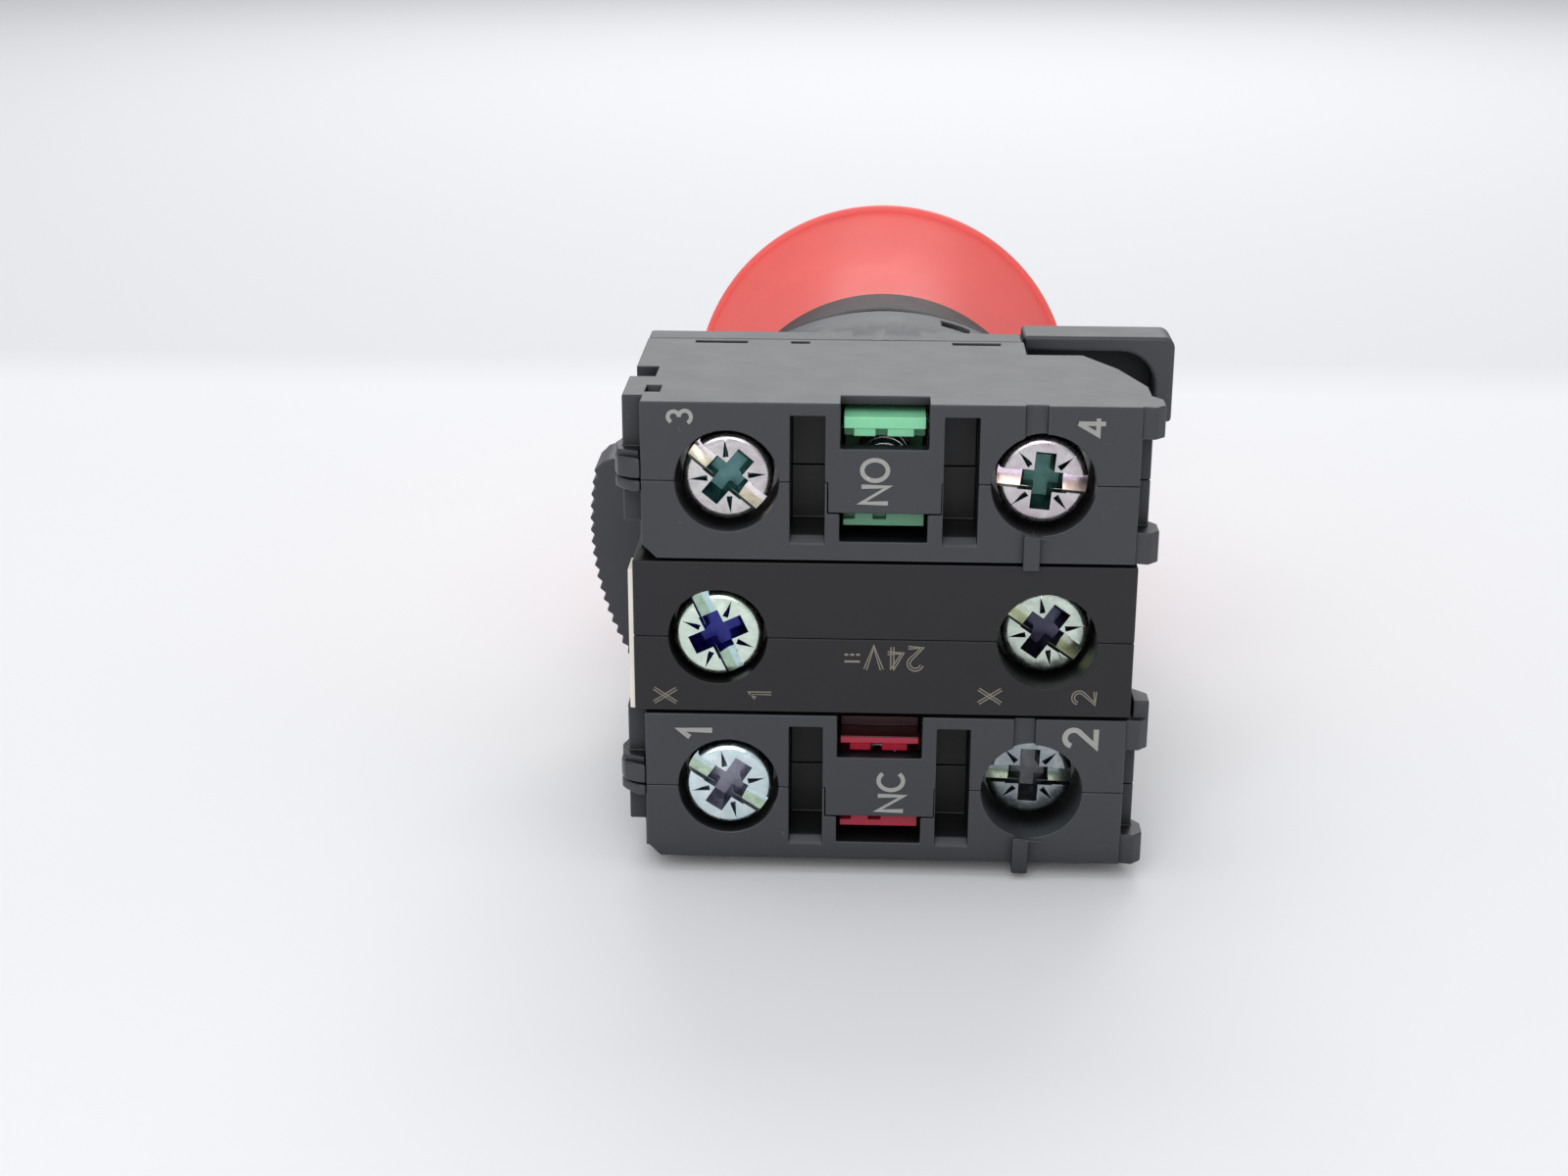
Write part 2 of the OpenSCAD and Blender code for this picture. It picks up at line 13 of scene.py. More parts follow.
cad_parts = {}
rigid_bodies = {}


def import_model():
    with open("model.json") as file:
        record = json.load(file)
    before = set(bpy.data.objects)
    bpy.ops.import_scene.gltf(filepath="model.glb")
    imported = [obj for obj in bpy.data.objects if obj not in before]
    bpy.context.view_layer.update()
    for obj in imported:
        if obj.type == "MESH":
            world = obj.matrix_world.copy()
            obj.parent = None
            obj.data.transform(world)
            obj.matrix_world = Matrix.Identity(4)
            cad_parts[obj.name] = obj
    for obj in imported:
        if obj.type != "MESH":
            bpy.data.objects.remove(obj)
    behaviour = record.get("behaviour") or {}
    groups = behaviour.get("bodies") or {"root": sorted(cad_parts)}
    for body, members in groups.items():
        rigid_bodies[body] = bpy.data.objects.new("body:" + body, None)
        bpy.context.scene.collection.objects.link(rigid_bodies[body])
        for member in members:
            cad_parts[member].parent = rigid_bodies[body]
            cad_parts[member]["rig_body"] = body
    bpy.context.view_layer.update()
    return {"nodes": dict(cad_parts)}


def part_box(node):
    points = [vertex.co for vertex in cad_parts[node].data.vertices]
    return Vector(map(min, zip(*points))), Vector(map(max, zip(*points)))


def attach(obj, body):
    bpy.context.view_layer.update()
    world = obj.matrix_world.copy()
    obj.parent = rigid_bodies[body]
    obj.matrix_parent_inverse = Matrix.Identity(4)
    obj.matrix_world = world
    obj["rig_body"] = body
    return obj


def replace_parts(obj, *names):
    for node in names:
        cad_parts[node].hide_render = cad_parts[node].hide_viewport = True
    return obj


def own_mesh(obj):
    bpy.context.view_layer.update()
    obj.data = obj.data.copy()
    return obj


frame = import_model()

MM = 0.001
NODES = frame["nodes"]


# ---- places that the frame gives, in millimetres ----

def node_box(node):
    """Lowest and highest corner of a CAD node, in millimetres."""
    low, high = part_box(node)
    return low / MM, high / MM


def centre(node):
    low, high = node_box(node)
    return (low + high) / 2


FACE_Y = node_box("no_shell_upper")[0].y      # plane of the terminal faces
NO_Z = centre("no_return_spring").z
NC_Z = centre("nc_return_spring").z
LAMP_Z = centre("lamp_board").z
FLOOR_Z = node_box("mushroom_head")[0].z      # the head's rim rests on the floor


# ---- materials ----

class Finish:
    """A Principled material, with the node chains that vary it over the surface."""

    def __init__(self, name, colour, roughness, **sockets):
        self.material = bpy.data.materials.new(name)
        self.material.use_nodes = True
        self.tree = self.material.node_tree
        self.shader = next(n for n in self.tree.nodes if n.type == "BSDF_PRINCIPLED")
        self.colour = (*colour, 1)
        self.shader.inputs["Base Color"].default_value = self.colour
        self.shader.inputs["Roughness"].default_value = roughness
        for socket, value in sockets.items():
            self.shader.inputs[socket.replace("_", " ")].default_value = value
        self.place = self.node("ShaderNodeTexCoord").outputs["Object"]

    def node(self, kind, **inputs):
        made = self.tree.nodes.new(kind)
        for name, value in inputs.items():
            socket = made.inputs[name.replace("_", " ")]
            if isinstance(value, bpy.types.NodeSocket):
                self.tree.links.new(value, socket)
            else:
                socket.default_value = value
        return made

    def link(self, output, socket):
        self.tree.links.new(output, self.shader.inputs[socket])

    def noise(self, size, detail=3.0, distortion=0.0):
        """Noise with features of about that size in millimetres."""
        made = self.node("ShaderNodeTexNoise", Vector=self.place, Scale=1 / (size * MM),
                         Detail=detail, Distortion=distortion)
        return made.outputs["Fac"]

    def remap(self, value, low, high, to_low, to_high):
        made = self.node("ShaderNodeMapRange", Value=value)
        for name, number in (("From Min", low), ("From Max", high), ("To Min", to_low),
                             ("To Max", to_high)):
            made.inputs[name].default_value = number
        return made.outputs["Result"]

    def mix(self, share, first, second):
        made = self.tree.nodes.new("ShaderNodeMix")
        made.data_type = "RGBA"
        for name, value in (("Factor", share), ("A", first), ("B", second)):
            socket = next(s for s in made.inputs if s.name == name and s.enabled)
            if isinstance(value, bpy.types.NodeSocket):
                self.tree.links.new(value, socket)
            else:
                socket.default_value = value
        return next(s for s in made.outputs if s.enabled)

    def tone(self, factor):
        """The base colour made lighter or darker."""
        return (*[min(1.0, c * factor) for c in self.colour[:3]], 1)

    def mottle(self, size, amount):
        """Cloudy variation of the base colour."""
        share = self.remap(self.noise(size), 0.3, 0.7, 0, 1)
        return self.mix(share, self.tone(1 - amount), self.tone(1 + amount))

    def worn_and_lit_edges(self, base, radius, factor, strength):
        """Lighter colour where two faces meet at an outer edge: partly wear, partly painted highlight
        where the edge catches the light.
        """
        bevel = self.node("ShaderNodeBevel", Radius=radius * MM)
        bevel.samples = 4
        true = self.node("ShaderNodeNewGeometry").outputs["Normal"]
        dot = self.tree.nodes.new("ShaderNodeVectorMath")
        dot.operation = "DOT_PRODUCT"
        self.tree.links.new(bevel.outputs["Normal"], dot.inputs[0])
        self.tree.links.new(true, dot.inputs[1])
        edge = self.remap(dot.outputs["Value"], 1.0, 0.8, 0, strength)
        broken = self.remap(self.noise(1.4, detail=5), 0.35, 0.6, 0.25, 1)
        share = self.node("ShaderNodeMath")
        share.operation = "MULTIPLY"
        self.tree.links.new(edge, share.inputs[0])
        self.tree.links.new(broken, share.inputs[1])
        return self.mix(share.outputs["Value"], base, self.tone(factor))

    def painted_hollow_shade(self, base, reach, factor):
        """Painted shade: darker colour down in wells, pockets and gaps, where shade falls."""
        open_share = self.node("ShaderNodeAmbientOcclusion", Distance=reach * MM)
        open_share.samples = 6
        share = self.remap(open_share.outputs["AO"], 0.45, 0.85, 1, 0)
        return self.mix(share, base, self.tone(factor))

    def specks(self, base, size, share, colour):
        """Sparse dust and scuffs."""
        spots = self.remap(self.noise(size, detail=6, distortion=1.5), share, share + 0.05, 0, 1)
        return self.mix(spots, base, (*colour, 1))

    def bump(self, height, depth, strength):
        made = self.node("ShaderNodeBump", Height=height, Distance=depth * MM, Strength=strength)
        self.link(made.outputs["Normal"], "Normal")

    def vary_roughness(self, size, low, high):
        self.link(self.remap(self.noise(size), 0.3, 0.7, low, high), "Roughness")


def moulded_plastic(name, colour, roughness, grain=0.25, edge=2.2, hollows=None, **sockets):
    """Fine-grained matte moulding: cloudy tone, light edges that are partly wear and partly painted
    highlight, a few scuffs, and painted shade in hollows when hollows is given.
    """
    grain_depth = 0.006
    made = Finish(name, colour, roughness, **sockets)
    base = made.mottle(5.0, 0.04)
    # lighter edges: partly wear, partly painted highlight
    base = made.worn_and_lit_edges(base, 0.16, edge, 0.75)
    base = made.specks(base, 0.55, 0.73, [min(1, c * 2.4) for c in colour])
    # painted shade down in wells, pockets and gaps
    if hollows:
        base = made.painted_hollow_shade(base, hollows, 0.12)
    made.link(base, "Base Color")
    made.vary_roughness(2.4, roughness - 0.02, roughness + 0.03)
    made.bump(made.noise(grain), grain_depth, 0.5)
    return made.material


def gloss_plastic(name, colour, roughness, height_shade=None, **sockets):
    """Smooth moulding with lighter edges, partly wear and partly painted highlight; an optional triple
    gives the heights in millimetres between which painted shade comes in, and how dark it is there."""
    made = Finish(name, colour, roughness, **sockets)
    # lighter edges: partly wear, partly painted highlight
    base = made.worn_and_lit_edges(made.mottle(3.0, 0.05), 0.1, 1.35, 0.5)
    # painted shade that deepens from one height to the other
    if height_shade:
        lit_z, shaded_z, factor = height_shade
        height = made.node("ShaderNodeSeparateXYZ", Vector=made.place).outputs["Z"]
        share = made.remap(height, lit_z * MM, shaded_z * MM, 0, 1)
        base = made.mix(share, base, made.tone(factor))
    made.link(base, "Base Color")
    made.vary_roughness(1.5, roughness - 0.04, roughness + 0.06)
    made.bump(made.noise(0.6), 0.004, 0.4)
    return made.material


def metal(name, colour, roughness, tint=None, grain=0.12):
    """Plated or stamped metal; tint is a second colour that drifts over it."""
    grain_depth = 0.004
    made = Finish(name, colour, roughness, Metallic=1.0)
    base = made.mottle(0.8, 0.12)
    if tint:
        film = made.remap(made.noise(1.3, distortion=1.0), 0.42, 0.6, 0, 0.85)
        base = made.mix(film, base, (*tint, 1))
    made.link(base, "Base Color")
    made.vary_roughness(0.5, roughness - 0.08, roughness + 0.12)
    made.bump(made.noise(grain, detail=5), grain_depth, 0.6)
    return made.material


def red_lens():
    """Translucent red head: light goes through it, and a soft haze lies on its moulded skin."""
    made = Finish("head_translucent_red", (0.87, 0.145, 0.13), 0.34,
                  Subsurface_Weight=0.5, Subsurface_Scale=0.004, Coat_Weight=0.05,
                  Coat_Roughness=0.3, Specular_IOR_Level=0.22)
    made.shader.inputs["Subsurface Radius"].default_value = (1.0, 0.22, 0.18)
    made.link(made.mottle(7.0, 0.04), "Base Color")
    made.vary_roughness(3.0, 0.44, 0.54)
    made.bump(made.noise(0.5), 0.003, 0.4)
    return made.material


def clear_epoxy():
    made = Finish("led_epoxy", (0.93, 0.93, 0.9), 0.08, Transmission_Weight=0.85, IOR=1.5)
    made.link(made.mottle(1.0, 0.03), "Base Color")
    made.bump(made.noise(0.8), 0.002, 0.3)
    return made.material


def solder_mask():
    made = Finish("board_solder_mask", (0.02, 0.12, 0.06), 0.3)
    tracks = made.node("ShaderNodeTexBrick", Vector=made.place, Scale=1 / (1.6 * MM),
                       Color1=made.tone(1), Color2=made.tone(1.3), Mortar=made.tone(2.2))
    made.link(tracks.outputs["Color"], "Base Color")
    made.bump(tracks.outputs["Fac"], 0.02, 0.4)
    return made.material


MATERIALS = {
    "head_red": red_lens(),
    "diffuser_white": gloss_plastic("diffuser_milky", (0.86, 0.85, 0.8), 0.4,
                                    Subsurface_Weight=0.3, Subsurface_Scale=0.002),
    "spring_steel": metal("spring_wire", (0.56, 0.57, 0.6), 0.28, grain=0.08),
    "stem_black": moulded_plastic("stem_moulding", (0.02, 0.02, 0.022), 0.42),
    "seal_rubber": moulded_plastic("seal_rubber", (0.012, 0.012, 0.012), 0.68, grain=0.15),
    "operator_black": moulded_plastic("operator_moulding", (0.014, 0.014, 0.016), 0.5,
                                      Specular_IOR_Level=0.2),
    # hollows gives the reach in millimetres of painted shade in wells, pockets and gaps
    "latch_grey": moulded_plastic("latch_moulding", (0.045, 0.048, 0.055), 0.48, hollows=4.0),
    "transfer_ivory": gloss_plastic("transfer_moulding", (0.72, 0.69, 0.6), 0.45),
    "block_grey": moulded_plastic("block_moulding", (0.038, 0.041, 0.047), 0.42, hollows=4.0,
                                  Specular_IOR_Level=0.42),
    # painted shade by height: the green plunger darker below its middle, the red one above its bar
    "plunger_green": gloss_plastic("plunger_green", (0.23, 0.64, 0.37), 0.32,
                                   height_shade=(NO_Z + 2, NO_Z - 2, 0.36),
                                   Subsurface_Weight=0.15, Subsurface_Scale=0.001),
    "plunger_red": gloss_plastic("plunger_red", (0.36, 0.012, 0.035), 0.32,
                                 height_shade=(NC_Z + 3.16, NC_Z + 3.26, 0.1),
                                 Subsurface_Weight=0.1, Subsurface_Scale=0.001),
    "contact_bronze": metal("contact_bronze", (0.66, 0.4, 0.24), 0.3),
    "terminal_brass": metal("terminal_brass", (0.72, 0.56, 0.28), 0.3),
    "clamp_steel": metal("clamp_zinc", (0.62, 0.62, 0.6), 0.35),
    "lamp_grey": moulded_plastic("lamp_moulding", (0.017, 0.017, 0.018), 0.46, hollows=4.0,
                                 Specular_IOR_Level=0.3),
    "board_green": solder_mask(),
    "resistor_tan": gloss_plastic("resistor_lacquer", (0.5, 0.38, 0.2), 0.3),
    "led_clear": clear_epoxy(),
}
PRINT_INK = moulded_plastic("print_ink", (0.31, 0.305, 0.285), 0.55, grain=0.08, edge=1.2)
LAMP_INK = moulded_plastic("lamp_print_ink", (0.2, 0.18, 0.145), 0.55, grain=0.08, edge=1.2)
CREAM_EDGE = gloss_plastic("cream_carrier", (0.74, 0.71, 0.62), 0.45)


def slot_of(node):
    return NODES[node].data.materials[0].name.split(".")[0]


SLOTS = {node: slot_of(node) for node in NODES}


# ---- building pieces ----

SHARP_DEG = 30      # edges that turn by more than this are rounded


def add_piece(name, mesh, body, slot, material=None, smooth_deg=35):
    """A new piece from a bmesh in millimetres, riding on a body."""
    data = bpy.data.meshes.new(name)
    bmesh.ops.scale(mesh, vec=(MM, MM, MM), verts=mesh.verts)
    bmesh.ops.recalc_face_normals(mesh, faces=mesh.faces)
    mesh.to_mesh(data)
    mesh.free()
    piece = bpy.data.objects.new(name, data)
    bpy.context.scene.collection.objects.link(piece)
    data.materials.append(material or MATERIALS[slot])
    data.shade_smooth()
    data.set_sharp_from_angle(angle=math.radians(smooth_deg))
    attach(piece, body)
    return piece


def soft_edges(piece, width, segments=2):
    """Rounds a piece's edges; width is in millimetres."""
    bevel = piece.modifiers.new("soft_edges", "BEVEL")
    bevel.width = width * MM
    bevel.segments = segments
    bevel.limit_method = "ANGLE"
    bevel.angle_limit = math.radians(SHARP_DEG)
    bevel.use_clamp_overlap = True
    bevel.miter_outer = "MITER_ARC"
    piece.modifiers.new("even_shading", "WEIGHTED_NORMAL").keep_sharp = False


def edge_room(edge):
    """How far an edge can be rounded before the round meets its neighbours."""
    usable, in_line, strip_sides = 0.4, 0.9, 6
    along = (edge.verts[1].co - edge.verts[0].co).normalized()
    room = math.inf
    for vert in edge.verts:
        for other in vert.link_edges:
            way = (other.verts[1].co - other.verts[0].co).normalized()
            if other is not edge and abs(along.dot(way)) < in_line:
                room = min(room, usable * other.calc_length())
    for face in edge.link_faces:
        if len(face.verts) <= strip_sides:
            longest = max(side.calc_length() for side in face.edges)
            room = min(room, usable * face.calc_area() / longest)
    return room


def moulding(node, width, clamp=False):
    """A copy of a CAD node with rounded edges, which stands for it."""
    weld, flat_deg = 0.002, 0.6
    mesh = bmesh.new()
    mesh.from_mesh(NODES[node].data)
    weight = mesh.edges.layers.float.new("bevel_weight_edge")
    bmesh.ops.scale(mesh, vec=(1 / MM,) * 3, verts=mesh.verts)
    bmesh.ops.remove_doubles(mesh, verts=mesh.verts, dist=weld)
    bmesh.ops.dissolve_limit(mesh, angle_limit=math.radians(flat_deg), verts=mesh.verts,
                             edges=mesh.edges)
    for edge in mesh.edges:
        if len(edge.link_faces) == 2 and edge.calc_face_angle(0) > math.radians(SHARP_DEG):
            edge[weight] = min(1.0, edge_room(edge) / width)
    piece = add_piece(f"{node}_moulding", mesh, NODES[node]["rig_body"], SLOTS[node],
                      smooth_deg=180)
    bevel = piece.modifiers.new("soft_edges", "BEVEL")
    bevel.width = width * MM
    bevel.segments = 2
    bevel.limit_method = "WEIGHT"
    bevel.use_clamp_overlap = clamp
    piece.modifiers.new("even_shading", "WEIGHTED_NORMAL").keep_sharp = False
    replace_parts(piece, node)


def lathe(points, segments):
    """Bmesh of a solid of revolution about the Y axis from [radius, y] points."""
    mesh = bmesh.new()
    rings = []
    for radius, y in points:
        if radius < 1e-6:
            rings.append([mesh.verts.new((0, y, 0))])
            continue
        rings.append([mesh.verts.new((radius * math.cos(a), y, radius * math.sin(a)))
                      for a in (2 * math.pi * i / segments for i in range(segments))])
    for low, high in zip(rings, rings[1:]):
        for i in range(segments):
            j = (i + 1) % segments
            corners = [low[i % len(low)], low[j % len(low)], high[j % len(high)],
                       high[i % len(high)]]
            corners = list(dict.fromkeys(corners))
            if len(corners) > 2:
                mesh.faces.new(corners)
    return mesh


def closed(points):
    """The profile of a ring comes back to its first point."""
    return points + points[:1]


def join_outlines(mesh, first, second):
    """Adds the closed solid between two outlines with the same number of points."""
    start = [mesh.verts.new(point) for point in first]
    end = [mesh.verts.new(point) for point in second]
    mesh.faces.new(start)
    mesh.faces.new(end[::-1])
    for i in range(len(start)):
        j = (i + 1) % len(start)
        mesh.faces.new((start[i], end[i], end[j], start[j]))
    return mesh


def raise_outline(outline, y0, y1, mesh=None):
    """Prism along Y from an outline in X and Z."""
    return join_outlines(mesh or bmesh.new(), [(x, y0, z) for x, z in outline],
                         [(x, y1, z) for x, z in outline])


def tube(points, radius, sides):
    """Round wire along a list of points, with flat ends."""
    mesh = bmesh.new()
    rings = []
    for i, here in enumerate(points):
        along = (points[min(i + 1, len(points) - 1)] - points[max(i - 1, 0)]).normalized()
        side = along.cross(Vector((0, 1, 0))).normalized()
        up = side.cross(along)
        rings.append([mesh.verts.new(here + radius * (math.cos(a) * side + math.sin(a) * up))
                      for a in (2 * math.pi * s / sides for s in range(sides))])
    for low, high in zip(rings, rings[1:]):
        for s in range(sides):
            t = (s + 1) % sides
            mesh.faces.new((low[s], low[t], high[t], high[s]))
    mesh.faces.new(rings[0][::-1])
    mesh.faces.new(rings[-1])
    return mesh


# ---- stage, camera and lights ----

def floor():
    """Pale sheet; past a soft line behind the object it is a little greyer."""
    edge_y, soft_before, soft_after, half = 98.0, 6, 10, 2600.0
    mesh = bmesh.new()
    bmesh.ops.create_grid(mesh, x_segments=2, y_segments=2, size=half)
    bmesh.ops.translate(mesh, vec=(0, 0, FLOOR_Z), verts=mesh.verts)
    bmesh.ops.scale(mesh, vec=(MM, MM, MM), verts=mesh.verts)
    data = bpy.data.meshes.new("floor")
    mesh.to_mesh(data)
    mesh.free()
    sheet = bpy.data.objects.new("floor", data)
    bpy.context.scene.collection.objects.link(sheet)
    made = Finish("floor_paper", (0.86, 0.865, 0.875), 0.75)
    parts = made.node("ShaderNodeSeparateXYZ", Vector=made.place)
    behind = made.remap(parts.outputs["Y"], (edge_y - soft_before) * MM,
                        (edge_y + soft_after) * MM, 0, 1)
    made.link(made.mix(behind, made.mottle(60.0, 0.01), made.tone(0.88)), "Base Color")
    made.bump(made.noise(1.5), 0.01, 0.2)
    data.materials.append(made.material)


def camera():
    """The camera that the module seams and verticals give."""
    lens_mm, sensor_mm = 52.65, 36
    place = Vector((-0.9, -162.8, 49.6)) * MM
    pitch, yaw, roll = (math.radians(a) for a in (19.35, -2.23, 0.15))
    forward = Vector((math.sin(yaw), math.cos(yaw), 0))
    right = Vector((math.cos(yaw), -math.sin(yaw), 0))
    up = Vector((0, 0, 1))
    ahead = forward * math.cos(pitch) - up * math.sin(pitch)
    above = up * math.cos(pitch) + forward * math.sin(pitch)
    x_axis = right * math.cos(roll) + above * math.sin(roll)
    y_axis = above * math.cos(roll) - right * math.sin(roll)
    data = bpy.data.cameras.new("camera")
    data.lens = lens_mm
    data.sensor_width = sensor_mm
    data.clip_start = 0.005
    eye = bpy.data.objects.new("camera", data)
    bpy.context.scene.collection.objects.link(eye)
    turn = Matrix((x_axis, y_axis, -ahead)).transposed()
    eye.matrix_world = Matrix.Translation(place) @ turn.to_4x4()
    bpy.context.scene.camera = eye


def area_light(name, place, size, power, aim=(0, 0, 0)):
    """Square soft box; place, size and aim are in millimetres."""
    data = bpy.data.lights.new(name, "AREA")
    data.size = size * MM
    data.energy = power
    box = bpy.data.objects.new(name, data)
    bpy.context.scene.collection.objects.link(box)
    box.location = Vector(place) * MM
    box.rotation_euler = (Vector(aim) - Vector(place)).to_track_quat("-Z", "Y").to_euler()


def lights():
    """A white room with a large soft box behind, one above the camera and a weak one overhead."""
    world = bpy.data.worlds.new("white_room")
    bpy.context.scene.world = world
    world.use_nodes = True
    background = world.node_tree.nodes["Background"]
    background.inputs["Color"].default_value = (0.95, 0.96, 1.0, 1)
    background.inputs["Strength"].default_value = 0.56
    area_light("behind", (20, 450, 350), 400, 1.35)
    area_light("overhead", (-120, -40, 520), 300, 0.36)
    area_light("above_camera", (-60, -420, 260), 360, 1.0)
    bpy.context.scene.view_settings.view_transform = "Standard"


floor()
camera()
lights()


# ---- red head ----

RIM_Y, DOME_INSET, DOME_RISE = 31.0, 0.45, 0.25     # the dome starts a little inside the rim


def mushroom_head():
    """Concave skirt, thin rim lip and low dome, hollow for the stem and the twist spring."""
    low, high = node_box("mushroom_head")
    rim_r, collar_y, top_y = high.x, low.y, high.y
    neck_r, bore_r, flare_y = 9.9, 8.7, 9.0
    lip_t, steps = 1.0, 40
    flare = RIM_Y - lip_t - flare_y
    skirt = [(neck_r + (rim_r - 0.5 - neck_r) * (i / steps) ** 1.9, flare_y + flare * i / steps)
             for i in range(steps + 1)]
    lip = [(rim_r + 0.28 * math.cos(a) - 0.28, RIM_Y - lip_t / 2 + lip_t / 2 * math.sin(a))
           for a in (math.radians(d) for d in range(-75, 76, 15))]
    dome_y = RIM_Y + DOME_RISE
    dome = [((rim_r - DOME_INSET) * math.cos(a), dome_y + (top_y - dome_y) * math.sin(a))
            for a in (math.pi / 2 * i / 24 for i in range(25))]
    dome[-1] = (0, top_y)
    bore = [(0, 24), (bore_r, 24), (bore_r, 19.8), (10.2, 19.8), (10.2, 16.2), (bore_r, 16.2),
            (bore_r, 13.1), (9.4, 13.1), (9.4, 11.9), (bore_r, 11.9), (bore_r, collar_y + 0.2),
            (bore_r + 0.2, collar_y)]
    profile = [(neck_r - 0.25, collar_y), (neck_r, collar_y + 0.25)] + skirt + lip + dome + bore
    piece = add_piece("mushroom_head_lens", lathe(closed(profile), 160), "head", "head_red")
    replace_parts(piece, "mushroom_head")


def turn_arrows():
    """Three curved arrows on the dome that show the way to turn the head."""
    high = node_box("mushroom_head")[1]
    dome_r, dome_y = high.x - DOME_INSET, RIM_Y + DOME_RISE
    radius, half_w, head_w, lift = 10.2, 0.45, 1.1, 0.05
    steps, shaft_deg, tip_deg, tip_steps = 14, 52, 14, 5

    def on_dome(r, deg, up):
        height = (high.y - dome_y) * math.sqrt(max(0.0, 1 - (r / dome_r) ** 2))
        a = math.radians(deg)
        return Vector((r * math.cos(a), dome_y + height + up, r * math.sin(a)))

    mesh = bmesh.new()
    for start in (20, 140, 260):
        stations = [(start + shaft_deg * i / steps, half_w) for i in range(steps + 1)]
        stations += [(start + shaft_deg + tip_deg * i / tip_steps, head_w * (1 - i / tip_steps) + 0.02)
                     for i in range(tip_steps + 1)]
        rows = []
        for deg, width in stations:
            rows.append([mesh.verts.new(on_dome(radius + s * width, deg, up))
                         for s, up in ((-1, -lift), (-1, lift), (1, lift), (1, -lift))])
        for low_row, high_row in zip(rows, rows[1:]):
            for i in range(4):
                j = (i + 1) % 4
                mesh.faces.new((low_row[i], low_row[j], high_row[j], high_row[i]))
        mesh.faces.new(rows[0][::-1])
        mesh.faces.new(rows[-1])
    ink = gloss_plastic("arrow_print", (0.85, 0.84, 0.82), 0.4)
    add_piece("turn_arrows", mesh, "head", "diffuser_white", ink)


mushroom_head()
turn_arrows()


# ---- operator ----

def bezel():
    """Black front ring: a flat base and a tapered collar round the neck of the head."""
    low, high = node_box("bezel")
    base_r, y0, top = high.x, low.y, high.y
    profile = [(11.1, y0), (base_r - 0.4, y0), (base_r - 0.1, y0 + 0.1), (base_r, y0 + 0.4),
               (base_r, 2.5), (base_r - 0.1, 2.8), (13.25, 3.0), (13.15, 3.2), (12.95, 7.0),
               (12.7, 7.15), (12.66, 7.4), (12.6, top - 1.2), (12.52, top - 0.6),
               (12.35, top - 0.2), (12.05, top), (11.75, top - 0.04), (11.5, top - 0.3),
               (11.2, top - 1), (10.5, 8), (10.5, 2.4), (12.8, 2.4), (12.8, y0 + 0.15),
               (11.1, y0 + 0.15)]
    piece = add_piece("bezel_ring", lathe(closed(profile), 160), "root", "operator_black",
                      smooth_deg=50)
    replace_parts(piece, "bezel")


def mounting_nut():
    """Round nut behind the panel, with grip notches round its rim."""
    low, high = node_box("mounting_nut")
    bore_r, outer_r, edge = 11.0, 14.2, 0.15
    notch_r, notch_at, notches, per_notch = 1.3, 15.0, 12, 30
    count = notches * per_notch

    def rim(i):
        """Radius of the rim at station i, where station 0 is the middle of a notch."""
        off = 2 * math.pi * ((i + per_notch // 2) % per_notch - per_notch // 2) / count
        across = notch_at * math.sin(off)
        if abs(across) > notch_r:
            return outer_r
        return min(outer_r, notch_at * math.cos(off) - math.sqrt(notch_r ** 2 - across ** 2))

    mesh = bmesh.new()
    rows = []
    for i in range(count):
        a, r = 2 * math.pi * i / count, rim(i)
        section = [(bore_r + edge, low.y), (r - edge, low.y), (r, low.y + edge),
                   (r, high.y - edge), (r - edge, high.y), (bore_r + edge, high.y),
                   (bore_r, high.y - edge), (bore_r, low.y + edge)]
        rows.append([mesh.verts.new((q * math.cos(a), y, q * math.sin(a))) for q, y in section])
    for i in range(count):
        here, there = rows[i], rows[(i + 1) % count]
        for j in range(len(here)):
            k = (j + 1) % len(here)
            mesh.faces.new((here[j], here[k], there[k], there[j]))
    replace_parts(add_piece("mounting_nut_moulding", mesh, "root", "operator_black"),
                "mounting_nut")


bezel()
mounting_nut()
for node, width in (("latch_frame", 0.15), ("operator_body", 0.07),
                    ("panel_gasket", 0.1), ("actuator_stem", 0.07), ("transfer_plate", 0.12),
                    ("retaining_ring", 0.06), ("light_diffuser", 0.15), ("lamp_tower", 0.1)):
    moulding(node, width, clamp=node == "actuator_stem")


# ---- locking lever ----

def polar(radius, deg):
    return (radius * math.cos(math.radians(deg)), radius * math.sin(math.radians(deg)))


LEVER_IN, LEVER_OUT, LEVER_Y0, LEVER_Y1 = 13.7, 15.0, -8.5, -6.1      # its ring
TAB_BACK_Y, TAB_FOOT_Z = -9.8, 9.2


